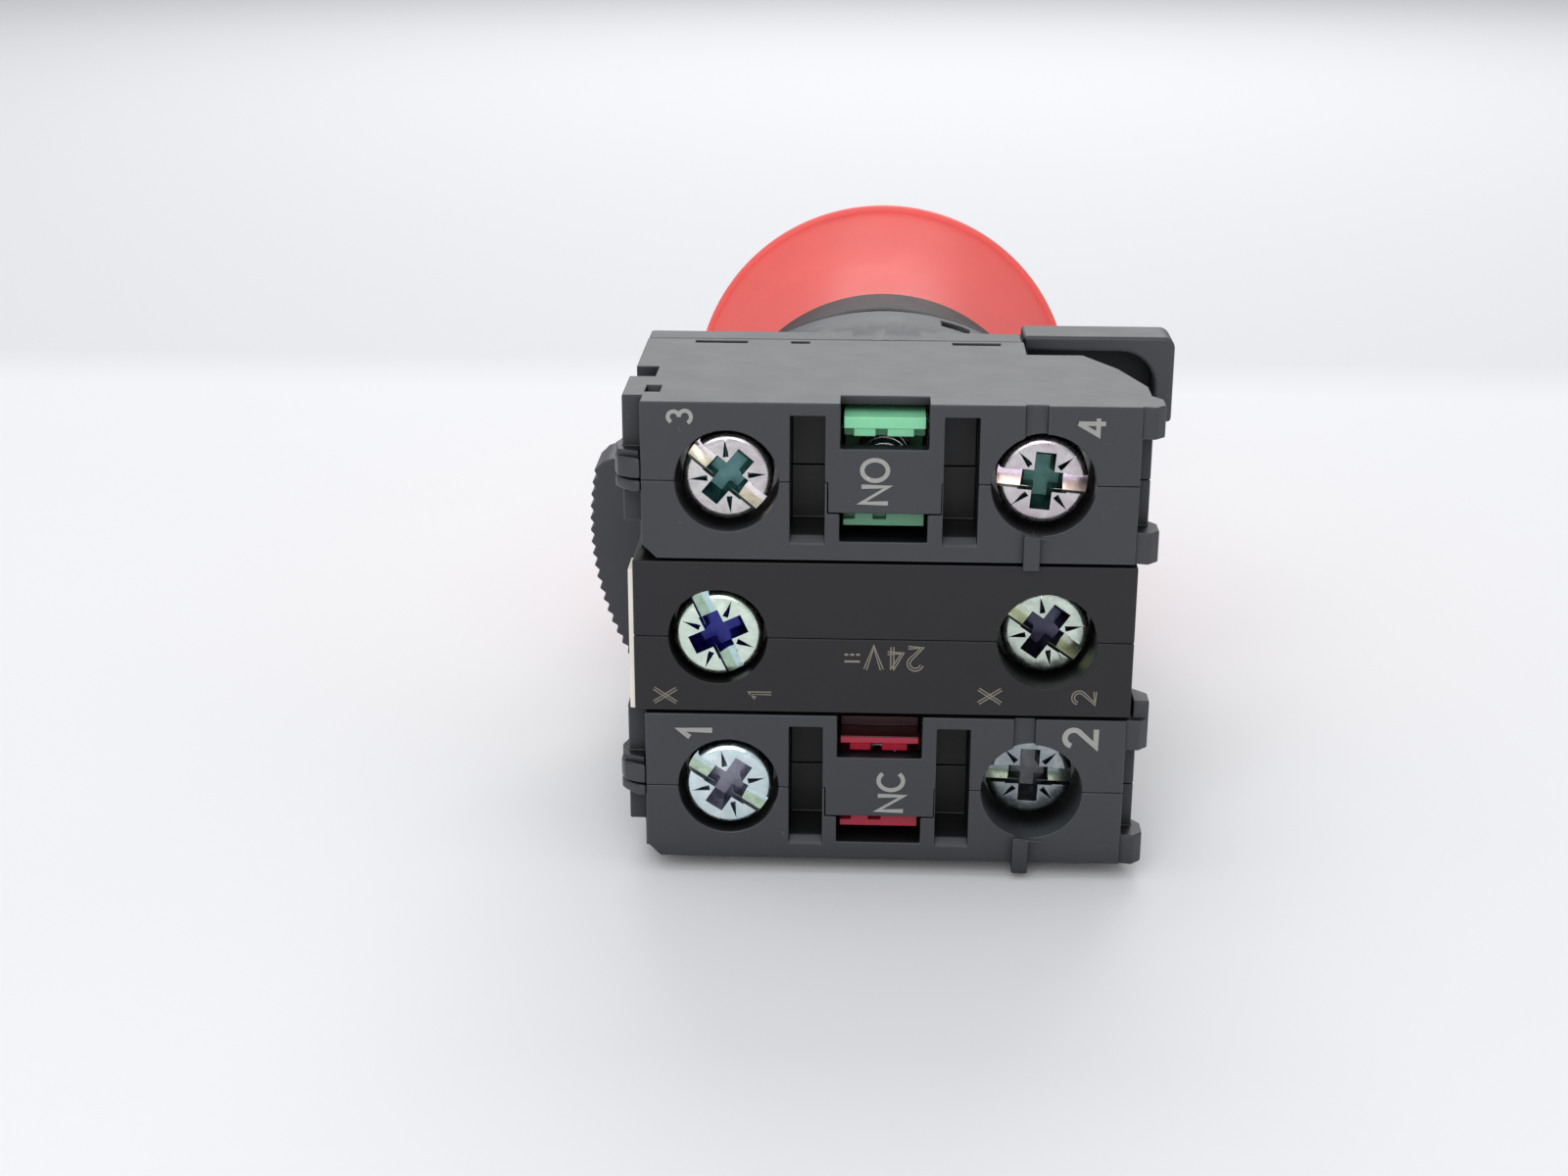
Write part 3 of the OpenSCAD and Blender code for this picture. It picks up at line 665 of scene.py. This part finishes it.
def lever_ring():
    """Ring on the boss, with the knurled thumb rim on the left."""
    low, high = node_box("locking_lever")
    thumb_r, thumb_top, thumb_from, thumb_to = -low.x, high.y, 166, 220
    pitch, tooth = 0.9, 0.32
    mesh = lathe(closed([(LEVER_IN, LEVER_Y0), (LEVER_OUT, LEVER_Y0), (LEVER_OUT, LEVER_Y1),
                         (LEVER_IN, LEVER_Y1)]), 160)
    count = round(math.radians(thumb_to - thumb_from) * thumb_r / pitch)
    outline = [polar(LEVER_OUT - 0.1, thumb_from), polar(18.4, thumb_from - 0.8),
               polar(19.6, thumb_from - 0.2), polar(20.2, thumb_from + 1)]
    for i in range(1, count):
        deg = thumb_from + (thumb_to - thumb_from) * i / count
        half = (thumb_to - thumb_from) / count / 4
        outline += [polar(thumb_r - tooth, deg - half), polar(thumb_r, deg + half)]
    outline += [polar(19.3, thumb_to), polar(LEVER_OUT - 0.1, thumb_to)]
    outline += [polar(LEVER_OUT - 0.1, thumb_to + (thumb_from - thumb_to) * i / 12)
                for i in range(1, 12)]
    raise_outline(outline, LEVER_Y0, thumb_top, mesh)
    piece = add_piece("locking_lever_moulding", mesh, "lever", "latch_grey")
    soft_edges(piece, 0.1)
    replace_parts(piece, "locking_lever")


def lever_web():
    """Web that fills the space between the ring and the walls of the tab, coloured darker than the
    lever's moulding as painted shade.
    """
    right, foot = node_box("locking_lever")[1].x, TAB_FOOT_Z
    inner_arc = [polar(LEVER_IN + 0.1, deg) for deg in (43.5, 46, 48, 50)]
    web = raise_outline([(9.3, 13.5), (right - 0.05, 13.5), (right - 0.05, foot), (10.6, foot)]
                        + inner_arc, LEVER_Y0, LEVER_Y1)
    outer_arc = [polar(15.7, deg) for deg in (37, 42, 47, 52)]
    raise_outline([(9.7, 14.1), (right - 0.4, 14.1), (right - 0.05, 13.7),
                   (right - 0.05, foot), (12.8, foot)]
                  + outer_arc, TAB_BACK_Y - 0.2, LEVER_Y0, web)
    # painted shade: a darker copy of the lever's grey for the web
    shaded = moulded_plastic("latch_recess", (0.022, 0.023, 0.026), 0.55,
                             Specular_IOR_Level=0.2)
    piece = add_piece("locking_lever_web", web, "lever", "latch_grey", shaded)
    soft_edges(piece, 0.08)


def lever_tab():
    """Hooked tab: a wall over the top that turns down round the corner."""
    low, high = node_box("locking_lever")
    right, top, foot = high.x, high.z, TAB_FOOT_Z
    roof, wall, outer_r, inner_r, tab_x = 1.0, 1.25, 0.8, 2.4, 9.15
    turn = [math.radians(90 - 90 * i / 8) for i in range(9)]
    outer = [(right - outer_r + outer_r * math.cos(a), top - outer_r + outer_r * math.sin(a))
             for a in turn]
    inner = [(right - wall - inner_r + inner_r * math.cos(a),
              top - roof - inner_r + inner_r * math.sin(a)) for a in turn]
    tab = raise_outline([(tab_x, top)] + outer + [(right, foot), (right - wall, foot)]
                        + inner[::-1] + [(tab_x, top - roof)], low.y, TAB_BACK_Y)
    piece = add_piece("locking_lever_tab", tab, "lever", "latch_grey")
    soft_edges(piece, 0.25, 3)


lever_ring()
lever_web()
lever_tab()


# ---- modules ----

for node in ("no_shell_upper", "no_shell_lower", "nc_shell_upper", "nc_shell_lower",
             "lamp_shell_upper", "lamp_shell_lower"):
    moulding(node, 0.1)
for node in ("no_plunger", "nc_plunger"):
    moulding(node, 0.05)
for node in ("no_terminals", "nc_terminals", "lamp_terminals", "no_clamp_plates",
             "nc_clamp_plates", "lamp_clamp_plates", "no_contact_bridge", "nc_contact_bridge",
             "lamp_board", "lamp_resistors"):
    moulding(node, 0.08)


def lamp_carrier():
    """Cream carrier of the lamp circuit, whose edge shows along the module's left side."""
    left, half_t = node_box("lamp_shell_upper")[0].x, 0.3
    x0, x1, z0, z1 = left - half_t, left + half_t, LAMP_Z - 4.85, LAMP_Z + 4.3
    strip = raise_outline([(x0, z0), (x1, z0), (x1, z1), (x0, z1)], FACE_Y + 0.15, FACE_Y + 2.4)
    soft_edges(add_piece("lamp_carrier_edge", strip, "root", "lamp_grey", CREAM_EDGE), 0.08)


def side_catch(module, module_z):
    """Moulded catch that bends round the left-hand corner at the parting plane."""
    for name, z0, z1, reach in (("upper", 0.08, 1.35, 0.0), ("lower", -0.75, -0.02, 0.35)):
        outline = [(-14.75, -0.06), (-15.3, 0.1), (-16.1, 0.55 + reach), (-16.35, 1.3),
                   (-16.35, 2.6), (-15.9, 4.2), (-14.6, 4.2), (-14.6, 1.0)]
        mesh = join_outlines(bmesh.new(),
                             [(x, FACE_Y + depth, module_z + z0) for x, depth in outline],
                             [(x, FACE_Y + depth, module_z + z1) for x, depth in outline])
        piece = add_piece(f"{module}_catch_{name}", mesh, "root", "block_grey")
        soft_edges(piece, 0.15, 3)


lamp_carrier()
side_catch("no", NO_Z)
side_catch("nc", NC_Z)


# ---- terminal screws ----

HEAD_R = 2.75
TONES_PER_SCREW = 5        # of one screw
HEAD, RECESS, SLOT, SLOT_SIDE, RECESS_FLOOR = range(TONES_PER_SCREW)


def tapered_bar(half_long, half_wide):
    """Arm of the cross recess, longer and wider at the screw's face than at its floor."""
    y0, y1, shrink = -0.05, 1.45, 0.7
    corners = [(sx * half_long, sz * half_wide) for sx, sz in ((-1, -1), (1, -1), (1, 1), (-1, 1))]
    mesh = join_outlines(bmesh.new(), [(x, y0, z) for x, z in corners],
                         [(x * shrink, y1, z * shrink) for x, z in corners])
    bmesh.ops.recalc_face_normals(mesh, faces=mesh.faces)
    return mesh


def loose_object(name, mesh):
    """An object for the cuts of a screw, in millimetres, which is deleted again."""
    data = bpy.data.meshes.new(name)
    mesh.to_mesh(data)
    mesh.free()
    made = bpy.data.objects.new(name, data)
    bpy.context.scene.collection.objects.link(made)
    return made


def slot_cutter():
    """The driver slot, whose floor slopes on one side."""
    edge, floor_y, ledge_y, start, half = 0.57, 0.8, 0.6, -0.4, 3.2
    section = [(start, edge), (floor_y, edge), (floor_y, 0.0), (ledge_y, -edge), (start, -edge)]
    mesh = join_outlines(bmesh.new(), [(-half, y, z) for y, z in section],
                         [(half, y, z) for y, z in section])
    bmesh.ops.recalc_face_normals(mesh, faces=mesh.faces)
    return mesh


def tick_cutter():
    """Four pointed ticks between the arms of the cross, deep inside and shallow outside."""
    mesh = bmesh.new()
    for corner in (45, 135, 225, 315):
        turn = Matrix.Rotation(math.radians(corner), 3, "Y")
        wedge = [(2.5, 0.0), (1.3, 0.22), (1.3, -0.22)]
        join_outlines(mesh, [turn @ Vector((x, -0.1, z)) for x, z in wedge],
                      [turn @ Vector((x - 0.3, 0.36, z * 0.15)) for x, z in wedge])
    bmesh.ops.recalc_face_normals(mesh, faces=mesh.faces)
    return mesh


def screw_mesh(length):
    """Terminal screw head with a slot, a cross recess and four tick marks; millimetres."""
    head_t, shank_r = 2.2, 1.65
    profile = [(0, 0), (2.3, 0), (2.5, 0.05), (2.66, 0.18), (HEAD_R, 0.42), (HEAD_R, head_t - 0.2),
               (HEAD_R - 0.15, head_t), (shank_r + 0.1, head_t), (shank_r, head_t + 0.1)]
    pitch, thread, y = 0.5, 0.25, head_t + 0.6
    while y < length - 0.6:
        profile += [(shank_r, y), (shank_r - thread, y + pitch / 2)]
        y += pitch
    profile += [(shank_r - 0.2, length - 0.3), (shank_r - 0.5, length), (0, length)]
    body = loose_object("screw_blank", lathe(profile, 96))
    quarter = Matrix.Rotation(math.pi / 2, 4, "Y")
    arm_a = tapered_bar(1.5, 0.64)
    arm_b = tapered_bar(1.8, 0.62)
    bmesh.ops.transform(arm_b, matrix=quarter, verts=arm_b.verts)
    hub = lathe([(0, -0.05), (1.22, -0.05), (1.12, 0.1), (0.75, 1.35), (0, 1.35)], 16)
    tools = [loose_object("tool", m) for m in (slot_cutter(), arm_a, arm_b, hub, tick_cutter())]
    for tool in tools:
        cut = body.modifiers.new("cut", "BOOLEAN")
        cut.operation = "DIFFERENCE"
        cut.solver = "EXACT"
        cut.object = tool
    bevel = body.modifiers.new("bevel", "BEVEL")
    bevel.width, bevel.segments, bevel.angle_limit = 0.035, 2, math.radians(40)
    bpy.context.view_layer.update()
    solid = body.evaluated_get(bpy.context.evaluated_depsgraph_get()).to_mesh()
    made = bmesh.new()
    made.from_mesh(solid)
    for extra in (body, *tools):
        bpy.data.objects.remove(extra)
    return made


SCREW_TURNS = {"no": (40, 5), "lamp": (65, 35), "nc": (33, 2)}
SCREW_PLATING_AND_SHADE = {
    # plating of the head, film that drifts over it, recess colour that is painted shade over the
    # plating's tint, slot colour that is a painted reflection
    "no_left": ((0.62, 0.61, 0.6), (0.52, 0.47, 0.5), (0.07, 0.15, 0.15), (0.86, 0.78, 0.8)),
    "no_right": ((0.58, 0.56, 0.57), (0.54, 0.46, 0.5), (0.045, 0.1, 0.09), (0.95, 0.74, 0.9)),
    "lamp_left": ((0.72, 0.82, 0.72), (0.6, 0.72, 0.62), (0.025, 0.028, 0.17), (0.5, 0.68, 0.7)),
    "lamp_right": ((0.6, 0.68, 0.6), (0.48, 0.56, 0.5), (0.05, 0.05, 0.08), (0.5, 0.56, 0.44)),
    "nc_left": ((0.76, 0.86, 0.88), (0.62, 0.77, 0.8), (0.22, 0.22, 0.27), (0.62, 0.8, 0.82)),
    "nc_right": ((0.36, 0.4, 0.42), (0.27, 0.32, 0.33), (0.1, 0.105, 0.11), (0.2, 0.24, 0.25)),
}


def tone_of_face(face):
    """Which tone a face of the screw takes, by its place and the way that it faces: the plated head,
    the slot floor with its painted reflection, the slot walls, recess walls and ticks with painted
    shade, and the recess floor with a little painted light.
    """
    middle = face.calc_center_median()
    radius, depth = math.hypot(middle.x, middle.z), middle.y
    if abs(middle.z) < 0.565 and abs(middle.x) > 1.3 and depth > 0.1:
        return SLOT if face.normal.y < -0.97 else SLOT_SIDE
    if 0.1 < depth < 1.6 and radius < 1.95:
        return RECESS_FLOOR if face.normal.y < -0.9 else RECESS
    if 1.7 < radius < 2.45 and 0.06 < depth < 1.5:
        return RECESS
    return HEAD


def terminal_screws(module, module_z):
    """The module's two screws as one piece, each turned as it was left."""
    node = f"{module}_terminal_screws"
    high = node_box(node)[1]
    screw_x = high.x - HEAD_R
    both = bmesh.new()
    data = bpy.data.meshes.new("merge")
    for side, (sign, turn) in enumerate(zip((-1, 1), SCREW_TURNS[module])):
        head_y = min(v.co.y / MM for v in NODES[node].data.vertices if v.co.x * sign > 0)
        made = screw_mesh(high.y - head_y)
        for face in made.faces:
            face.material_index = side * TONES_PER_SCREW + tone_of_face(face)
        bmesh.ops.transform(made, matrix=Matrix.Translation((sign * screw_x, head_y, module_z))
                            @ Matrix.Rotation(math.radians(turn), 4, "Y"), verts=made.verts)
        made.to_mesh(data)
        made.free()
        both.from_mesh(data)
    screw_tones = []
    for side in ("left", "right"):
        head, film, recess, slot = SCREW_PLATING_AND_SHADE[f"{module}_{side}"]
        # painted shade and light on the one zinc: the slot walls take a darker copy of the slot
        # colour, the recess floor a lighter copy of the recess colour
        ledge = [0.8 * c for c in (slot[0], slot[1], 0.75 * slot[2])]
        floor_tone = [min(1, 1.25 * c + 0.01) for c in recess]
        screw_tones += [metal(f"screw_{module}_{side}", head, 0.24, film),
                     metal(f"recess_{module}_{side}", recess, 0.35, [1.8 * c for c in recess]),
                     metal(f"slot_{module}_{side}", slot, 0.2),
                     metal(f"slot_side_{module}_{side}", ledge, 0.25),
                     metal(f"recess_floor_{module}_{side}", floor_tone, 0.3)]
    piece = add_piece(f"{node}_zinc", both, "root", "screw_zinc", screw_tones[0])
    for screw_tone in screw_tones[1:]:
        piece.data.materials.append(screw_tone)
    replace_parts(piece, node)


for module, module_z in (("no", NO_Z), ("lamp", LAMP_Z), ("nc", NC_Z)):
    terminal_screws(module, module_z)


# ---- springs ----

def spring(node, wire, turns, sides=12, squash_with=None):
    """Round-wire coil with half a flat turn at each end, in the box of its CAD node."""
    low, high = node_box(node)
    middle = (low + high) / 2
    radius = (high.x - low.x) / 2 - wire / 2
    y0, y1 = low.y + wire / 2, high.y - wire / 2
    per_turn, end_turns = 36, 0.5
    total = turns + 2 * end_turns
    points = []
    count = int(total * per_turn)
    flat = end_turns / total
    for i in range(count + 1):
        t = i / count
        rise = min(1.0, max(0.0, (t - flat) / (1 - 2 * flat)))
        rise = rise * rise * (3 - 2 * rise) * 0.25 + rise * 0.75
        a = 2 * math.pi * total * t
        points.append(Vector((middle.x + radius * math.cos(a), y0 + (y1 - y0) * rise,
                              middle.z + radius * math.sin(a))))
    piece = add_piece(f"{node}_wire", tube(points, wire / 2, sides), NODES[node]["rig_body"],
                      "spring_steel", smooth_deg=60)
    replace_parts(piece, node)
    if squash_with:
        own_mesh(piece)


spring("return_spring", 0.7, 8, squash_with="head_push")
for module in ("no", "nc"):
    spring(f"{module}_return_spring", 0.35, 5, 10, squash_with=f"{module}_contact_slide")
    spring(f"{module}_contact_spring", 0.25, 2, 8)
spring("twist_spring", 0.6, 4)
# these small pieces keep their CAD shape and take only their material
for node in ("detent_spring", "stem_seal", "lamp_led"):
    NODES[node].data.materials[0] = MATERIALS[SLOTS[node]]


# ---- printed marks ----

def arc(cx, cy, rx, ry, start, end, steps=14):
    """Points of an arc in glyph units; angles in degrees from +X, counter-clockwise."""
    return [(cx + rx * math.cos(a), cy + ry * math.sin(a))
            for a in (math.radians(start + (end - start) * i / steps) for i in range(steps + 1))]


# Centre lines of the signs, in units of the cap height, with the width of each sign
GLYPHS = {
    "1": (0.4, [[(0.06, 0.7), (0.3, 1.0), (0.3, 0.0)]]),
    "2": (0.66, [arc(0.33, 0.71, 0.27, 0.27, 165, -35) + [(0.06, 0.02), (0.63, 0.02)]]),
    "3": (0.66, [arc(0.31, 0.75, 0.24, 0.24, 155, -90),
                 arc(0.31, 0.26, 0.28, 0.26, 90, -155)]),
    "4": (0.7, [[(0.66, 0.27), (0.04, 0.27), (0.46, 1.0)], [(0.46, 1.0), (0.46, 0.0)]]),
    "N": (0.74, [[(0.05, 0.0), (0.05, 1.0), (0.69, 0.0), (0.69, 1.0)]]),
    "O": (0.86, [arc(0.43, 0.5, 0.4, 0.48, 0, 360, 36)]),
    "C": (0.8, [arc(0.44, 0.5, 0.4, 0.48, 42, 318, 26)]),
    "X": (0.72, [[(0.03, 0.0), (0.69, 1.0)], [(0.03, 1.0), (0.69, 0.0)]]),
    "V": (0.72, [[(0.02, 1.0), (0.36, 0.0), (0.7, 1.0)]]),
    "=": (0.72, [[(0.04, 0.66), (0.68, 0.66)], [(0.04, 0.36), (0.2, 0.36)],
                 [(0.28, 0.36), (0.44, 0.36)], [(0.52, 0.36), (0.68, 0.36)]]),
}


def stroke(mesh, points, half, place):
    """Flat stroke of even width along a centre line; place gives a point in space."""
    sunk, sharpest = Vector((0, 0.03, 0)), 0.45
    rows = []
    for i, here in enumerate(points):
        before = Vector(points[max(i - 1, 0)])
        after = Vector(points[min(i + 1, len(points) - 1)])
        here = Vector(here)
        ways = [w.normalized() for w in (here - before, after - here) if w.length > 1e-6]
        along = sum(ways, Vector((0, 0))).normalized()
        across = Vector((-along.y, along.x))
        reach = half / max(sharpest, across.dot(Vector((-ways[0].y, ways[0].x))))
        rows.append([place(here + across * reach), place(here - across * reach)])
    for low_row, high_row in zip(rows, rows[1:]):
        corners = [*low_row, *high_row[::-1]]
        join_outlines(mesh, corners, [c + sunk for c in corners])


def mark(text, x, z, cap, turn_deg, name, ink, hollow=False):
    """Print on a terminal face; turn_deg is counter-clockwise as the face is read, and hollow
    draws each stroke as two thin lines."""
    gap, proud, layer = 0.16, 0.012, 0.003
    pen, thin_pen, line_pen, line_apart = 0.085, 0.045, 0.026, 0.06
    total = sum(GLYPHS[c][0] for c in text) + gap * (len(text) - 1)
    turn = math.radians(turn_deg)
    mesh = bmesh.new()
    start = -total / 2

    def place(point):
        u, v = (start + point[0]) * cap, (point[1] - 0.5) * cap
        return Vector((x + u * math.cos(turn) - v * math.sin(turn), FACE_Y - proud,
                       z + u * math.sin(turn) + v * math.cos(turn)))

    for sign in text:
        width, lines = GLYPHS[sign]
        for line in lines:
            proud += layer              # crossing lines lie one over the other
            if not hollow or sign == "=":
                stroke(mesh, line, thin_pen if hollow else pen, place)
                continue
            for side in (-1, 1):
                shifted = []
                for i, point in enumerate(line):
                    a, b = Vector(line[max(i - 1, 0)]), Vector(line[min(i + 1, len(line) - 1)])
                    along = (b - a).normalized()
                    shifted.append(Vector(point) + side * line_apart * Vector((-along.y, along.x)))
                stroke(mesh, shifted, line_pen, place)
        start += width + gap
    add_piece(name, mesh, "root", "block_grey", ink)


MARKS = [
    ("3", -12.3, NO_Z + 4.0, 1.4, 90, "mark_3"), ("4", 12.2, NO_Z + 3.7, 1.6, 90, "mark_4"),
    ("NO", -0.6, NO_Z + 0.1, 1.6, 90, "mark_NO"),
    ("1", -11.5, NC_Z + 3.6, 2.0, 90, "mark_1"), ("2", 12.4, NC_Z + 3.7, 2.0, 90, "mark_2"),
    ("NC", 0.7, NC_Z - 0.2, 1.6, 90, "mark_NC"),
]
LAMP_MARKS = [
    ("X", -13.4, LAMP_Z - 3.9, 1.4, 90, "mark_X1"), ("1", -7.5, LAMP_Z - 3.8, 1.4, 90, "mark_X1_1"),
    ("X", 6.7, LAMP_Z - 3.6, 1.4, 90, "mark_X2"), ("2", 12.5, LAMP_Z - 3.6, 1.4, 90, "mark_X2_2"),
    ("24V=", 0.1, LAMP_Z - 1.2, 1.5, 180, "mark_24V"),
]
for one in MARKS:
    mark(*one, PRINT_INK)
for one in LAMP_MARKS:
    mark(*one, LAMP_INK, hollow=True)
